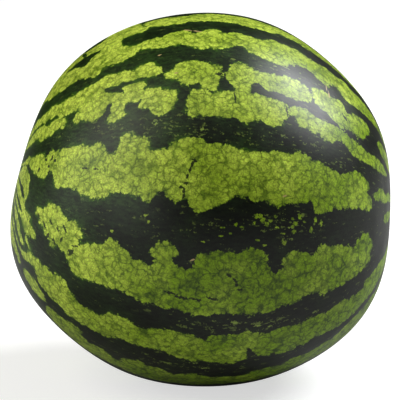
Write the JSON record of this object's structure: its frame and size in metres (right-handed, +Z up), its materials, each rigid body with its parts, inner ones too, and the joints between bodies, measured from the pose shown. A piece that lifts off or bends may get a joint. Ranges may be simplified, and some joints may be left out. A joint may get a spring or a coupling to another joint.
{
  "type": "seedless watermelon",
  "caption": "Whole near-round striped watermelon lying on its side on a small flat spot, with a dry stem stub in a shallow dimple at one end and a small blossom scar at the other.",
  "frame": {"origin": "on the surface the fruit rests on, under the middle of its box, inside the rest spot", "axes": "+Z up; the stem end points to -X and a little up, the blossom end to +X; -Y is the side the picture shows"},
  "size_m": [0.2505, 0.2498, 0.2433],
  "materials": {
    "rind": "waxy, semi-gloss, light and dark green stripes",
    "dry_stem": "dry, fibrous, matt"
  },
  "bodies": {
    "root": {"melon": "rind", "stem_stub": "dry_stem"}
  },
  "joints": []
}
